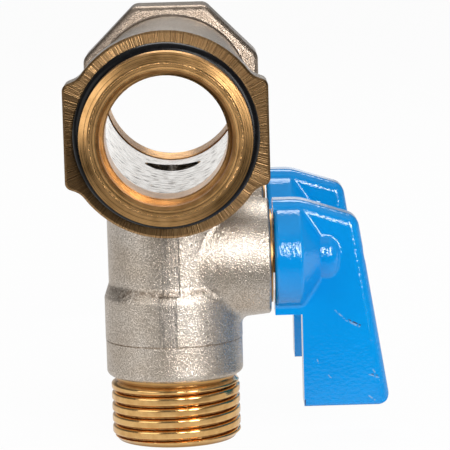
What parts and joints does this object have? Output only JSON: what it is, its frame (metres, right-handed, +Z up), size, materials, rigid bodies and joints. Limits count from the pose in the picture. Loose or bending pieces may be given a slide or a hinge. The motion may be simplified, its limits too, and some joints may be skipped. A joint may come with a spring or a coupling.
{
  "type": "ball valve manifold",
  "caption": "Plated brass header with a male and a female pipe end, and valved male outlets below it, each opened and closed by a blue lever at the side.",
  "frame": {"origin": "centre of the male nose's end face, on the header's axis", "axes": "+Y along the header from the nose to the female end, +Z up, outlets along -Z, handles towards +X"},
  "size_m": [0.0506, 0.1015, 0.0676],
  "materials": {
    "nickel": "nickel plated brass, blasted grain",
    "brass": "bare turned brass",
    "chrome": "polished plated brass",
    "blue_paint": "gloss paint on cast aluminium",
    "black_rubber": "satin rubber",
    "seat_polymer": "white fluoropolymer",
    "zinc_steel": "zinc plated"
  },
  "bodies": {
    "manifold": {"manifold_body": "nickel", "nose_o_ring": "black_rubber", "outlet_nipple_1": "nickel", "upper_seat_1": "seat_polymer", "lower_seat_1": "seat_polymer", "thrust_washer_1": "seat_polymer", "gland_1": "brass", "outlet_nipple_2": "nickel", "upper_seat_2": "seat_polymer", "lower_seat_2": "seat_polymer", "thrust_washer_2": "seat_polymer", "gland_2": "brass"},
    "valve_1": {"handle_1": "blue_paint", "handle_screw_1": "zinc_steel", "lock_washer_1": "zinc_steel", "stem_1": "brass", "inner_stem_o_ring_1": "black_rubber", "outer_stem_o_ring_1": "black_rubber", "ball_1": "chrome"},
    "valve_2": {"handle_2": "blue_paint", "handle_screw_2": "zinc_steel", "lock_washer_2": "zinc_steel", "stem_2": "brass", "inner_stem_o_ring_2": "black_rubber", "outer_stem_o_ring_2": "black_rubber", "ball_2": "chrome"}
  },
  "joints": [
    {"name": "valve_1_turn", "type": "hinge", "parent": "manifold", "child": "valve_1", "pos_m": [0, 0.03, -0.0222], "axis": [-1, 0, 0], "range_deg": [0, 90]},
    {"name": "valve_2_turn", "type": "hinge", "parent": "manifold", "child": "valve_2", "pos_m": [0, 0.075, -0.0222], "axis": [-1, 0, 0], "range_deg": [0, 90]}
  ]
}
